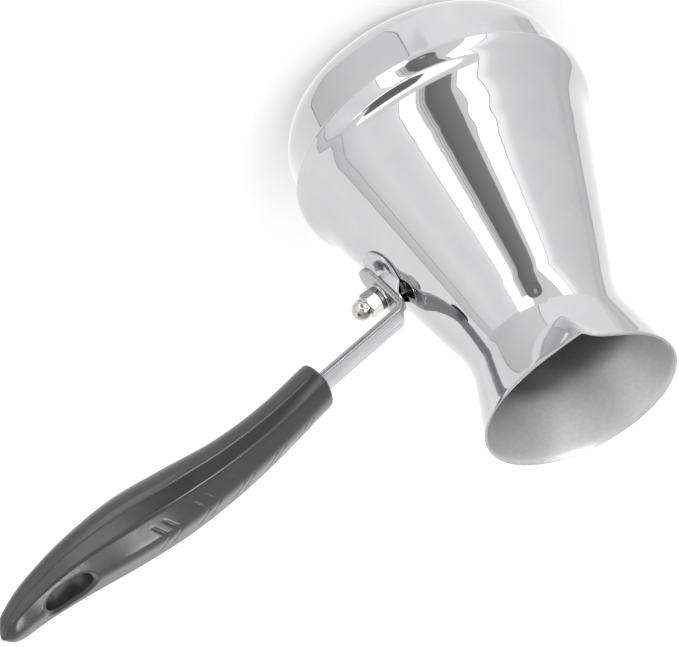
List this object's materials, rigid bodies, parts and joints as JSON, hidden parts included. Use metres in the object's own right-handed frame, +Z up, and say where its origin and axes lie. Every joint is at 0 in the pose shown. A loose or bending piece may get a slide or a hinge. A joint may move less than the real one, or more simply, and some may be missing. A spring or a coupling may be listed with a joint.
{
  "type": "candle melting pot",
  "caption": "Spun steel melting pot with narrow neck, flared mouth and pouring lip, on a bent arm with a moulded grip and a clamping cap nut.",
  "frame": {"origin": "centre of the flat base, on the surface that the pot stands on", "axes": "+Z up the pot's axis of revolution, +X from the pot's axis towards the handle, -Y towards the pouring lip"},
  "size_m": [0.2604, 0.1118, 0.1496],
  "materials": {
    "polished_steel": "mirror polished stainless steel outside, satin inside",
    "bracket_steel": "pressed and polished stainless steel",
    "bar_steel": "rolled flat bar with a satin polish",
    "fastener_steel": "bright nickel plated steel",
    "spring_steel": "dull plated spring steel",
    "grip_phenolic": "glossy grey-black moulded phenolic"
  },
  "bodies": {
    "pot": {"pot_body": "polished_steel", "handle_bracket": "bracket_steel", "stud": "fastener_steel"},
    "handle": {"handle_arm": "bar_steel", "grip": "grip_phenolic"},
    "washers": {"flat_washer": "fastener_steel", "spring_washer": "spring_steel"},
    "nut": {"cap_nut": "fastener_steel"}
  },
  "joints": [
    {"name": "handle_swivel", "type": "hinge", "parent": "pot", "child": "handle", "pos_m": [0.03921, 0, 0.0765], "axis": [0.9523, 0, 0.3053], "continuous": true},
    {"name": "washer_slide", "type": "slide", "parent": "pot", "child": "washers", "axis": [0.9523, 0, 0.3053], "range_m": [0, 0.0055]},
    {"name": "cap_nut_turn", "type": "hinge", "parent": "washers", "child": "nut", "pos_m": [0.03921, 0, 0.0765], "axis": [0.9523, 0, 0.3053], "range_deg": [0, 2480]}
  ],
  "couplings": [
    {"joint": "cap_nut_turn", "follows": "washer_slide", "rad_per_m": 7854}
  ]
}
